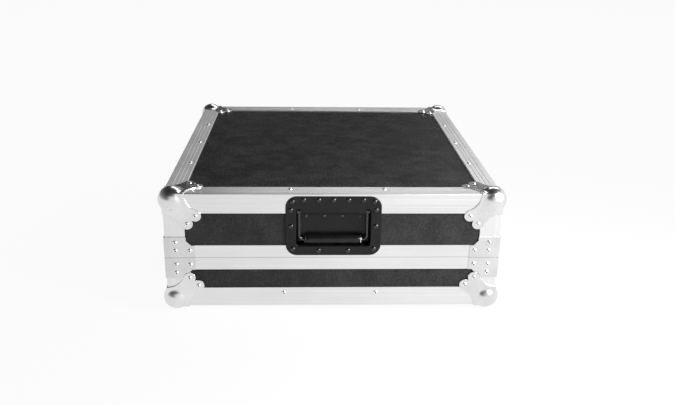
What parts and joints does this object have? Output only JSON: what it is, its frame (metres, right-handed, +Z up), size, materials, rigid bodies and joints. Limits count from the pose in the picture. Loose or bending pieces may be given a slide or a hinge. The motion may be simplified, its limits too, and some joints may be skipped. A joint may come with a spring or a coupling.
{
  "type": "mixer flight case",
  "caption": "Low rectangular transport case with a deep lift-off lid, metal edging, ball corners, side latches and a recessed swing handle, made to carry a table-top mixer.",
  "frame": {"origin": "middle of the footprint at the bottom of the feet", "axes": "+X to the right, +Y to the back, +Z up; the handle faces -Y"},
  "size_m": [0.516, 0.566, 0.2005],
  "materials": {
    "black_laminate": "fine-grained black laminate on plywood",
    "satin_aluminium": "satin extruded",
    "plated_steel": "bright zinc plating",
    "rivet_steel": "bright domed rivets",
    "black_coat": "black powder coat",
    "zinc_steel": "zinc plated",
    "black_rubber": "matt black",
    "grey_foam": "open-cell charcoal foam"
  },
  "bodies": {
    "base": {"base_edge_front": "satin_aluminium", "base_panel_front": "black_laminate", "base_edge_right": "satin_aluminium", "base_panel_right": "black_laminate", "base_edge_back": "satin_aluminium", "base_panel_back": "black_laminate", "base_edge_left": "satin_aluminium", "base_panel_left": "black_laminate", "base_panel_floor": "black_laminate", "base_corner_posts": "satin_aluminium", "base_rims": "satin_aluminium", "base_ball_corners": "plated_steel", "base_corner_braces": "plated_steel", "base_rivets": "rivet_steel", "base_foam_floor": "grey_foam", "base_foam_walls": "grey_foam", "rubber_feet": "black_rubber", "foot_screws": "zinc_steel", "latch_dish_left": "zinc_steel", "latch_dish_right": "zinc_steel"},
    "lid": {"lid_edge_front": "satin_aluminium", "lid_panel_front": "black_laminate", "lid_edge_right": "satin_aluminium", "lid_panel_right": "black_laminate", "lid_edge_back": "satin_aluminium", "lid_panel_back": "black_laminate", "lid_edge_left": "satin_aluminium", "lid_panel_left": "black_laminate", "lid_panel_top": "black_laminate", "lid_corner_posts": "satin_aluminium", "lid_rims": "satin_aluminium", "lid_ball_corners": "plated_steel", "lid_corner_braces": "plated_steel", "lid_rivets": "rivet_steel", "lid_foam_pad": "grey_foam", "lid_foam_walls": "grey_foam", "handle_dish": "black_coat", "handle_rivets": "black_coat", "handle_hinge_pin": "zinc_steel", "handle_hinge_strap": "black_coat", "handle_strap_rivets": "black_coat", "handle_springs": "zinc_steel", "latch_keeper_left": "zinc_steel", "latch_keeper_right": "zinc_steel"},
    "handle": {"handle_bail": "black_coat", "handle_grip": "black_rubber"},
    "latch_rotor_left": {"latch_rotor_left": "zinc_steel", "latch_wing_pin_left": "zinc_steel"},
    "latch_wing_left_front": {"latch_wing_left_front": "zinc_steel"},
    "latch_wing_left_back": {"latch_wing_left_back": "zinc_steel"},
    "latch_slider_left": {"latch_slider_left": "zinc_steel"},
    "latch_hook_left": {"latch_hook_left": "zinc_steel", "latch_hook_pin_left": "zinc_steel"},
    "latch_rotor_right": {"latch_rotor_right": "zinc_steel", "latch_wing_pin_right": "zinc_steel"},
    "latch_wing_right_front": {"latch_wing_right_front": "zinc_steel"},
    "latch_wing_right_back": {"latch_wing_right_back": "zinc_steel"},
    "latch_slider_right": {"latch_slider_right": "zinc_steel"},
    "latch_hook_right": {"latch_hook_right": "zinc_steel", "latch_hook_pin_right": "zinc_steel"}
  },
  "joints": [
    {"name": "lid_lift", "type": "slide", "parent": "base", "child": "lid", "axis": [0, 0, 1], "range_m": [0, 0.25]},
    {"name": "handle_swing", "type": "hinge", "parent": "lid", "child": "handle", "pos_m": [0, -0.2677, 0.1629], "axis": [-1, 0, 0], "range_deg": [0, 90], "stiffness_Nm_per_rad": 0.15},
    {"name": "latch_turn_left", "type": "hinge", "parent": "base", "child": "latch_rotor_left", "pos_m": [-0.25, 0, 0.0645], "axis": [-1, 0, 0], "range_deg": [0, 180]},
    {"name": "wing_fold_left_front", "type": "hinge", "parent": "latch_rotor_left", "child": "latch_wing_left_front", "pos_m": [-0.2488, 0, 0.0645], "axis": [0, 0, -1], "range_deg": [0, 88]},
    {"name": "wing_fold_left_back", "type": "hinge", "parent": "latch_rotor_left", "child": "latch_wing_left_back", "pos_m": [-0.2488, 0, 0.0645], "axis": [0, 0, 1], "range_deg": [0, 88]},
    {"name": "latch_pull_left", "type": "slide", "parent": "base", "child": "latch_slider_left", "axis": [0, 0, -1], "range_m": [0, 0.009]},
    {"name": "hook_swing_left", "type": "hinge", "parent": "latch_slider_left", "child": "latch_hook_left", "pos_m": [-0.2405, 0, 0.089], "axis": [0, 1, 0], "range_deg": [0, 13]},
    {"name": "latch_turn_right", "type": "hinge", "parent": "base", "child": "latch_rotor_right", "pos_m": [0.25, 0, 0.0645], "axis": [1, 0, 0], "range_deg": [0, 180]},
    {"name": "wing_fold_right_front", "type": "hinge", "parent": "latch_rotor_right", "child": "latch_wing_right_front", "pos_m": [0.2488, 0, 0.0645], "axis": [0, 0, 1], "range_deg": [0, 88]},
    {"name": "wing_fold_right_back", "type": "hinge", "parent": "latch_rotor_right", "child": "latch_wing_right_back", "pos_m": [0.2488, 0, 0.0645], "axis": [0, 0, -1], "range_deg": [0, 88]},
    {"name": "latch_pull_right", "type": "slide", "parent": "base", "child": "latch_slider_right", "axis": [0, 0, -1], "range_m": [0, 0.009]},
    {"name": "hook_swing_right", "type": "hinge", "parent": "latch_slider_right", "child": "latch_hook_right", "pos_m": [0.2405, 0, 0.089], "axis": [0, -1, 0], "range_deg": [0, 13]}
  ],
  "couplings": [
    {"joint": "latch_pull_left", "follows": "latch_turn_left", "m_per_rad": 0.0028648},
    {"joint": "latch_pull_right", "follows": "latch_turn_right", "m_per_rad": 0.0028648}
  ]
}
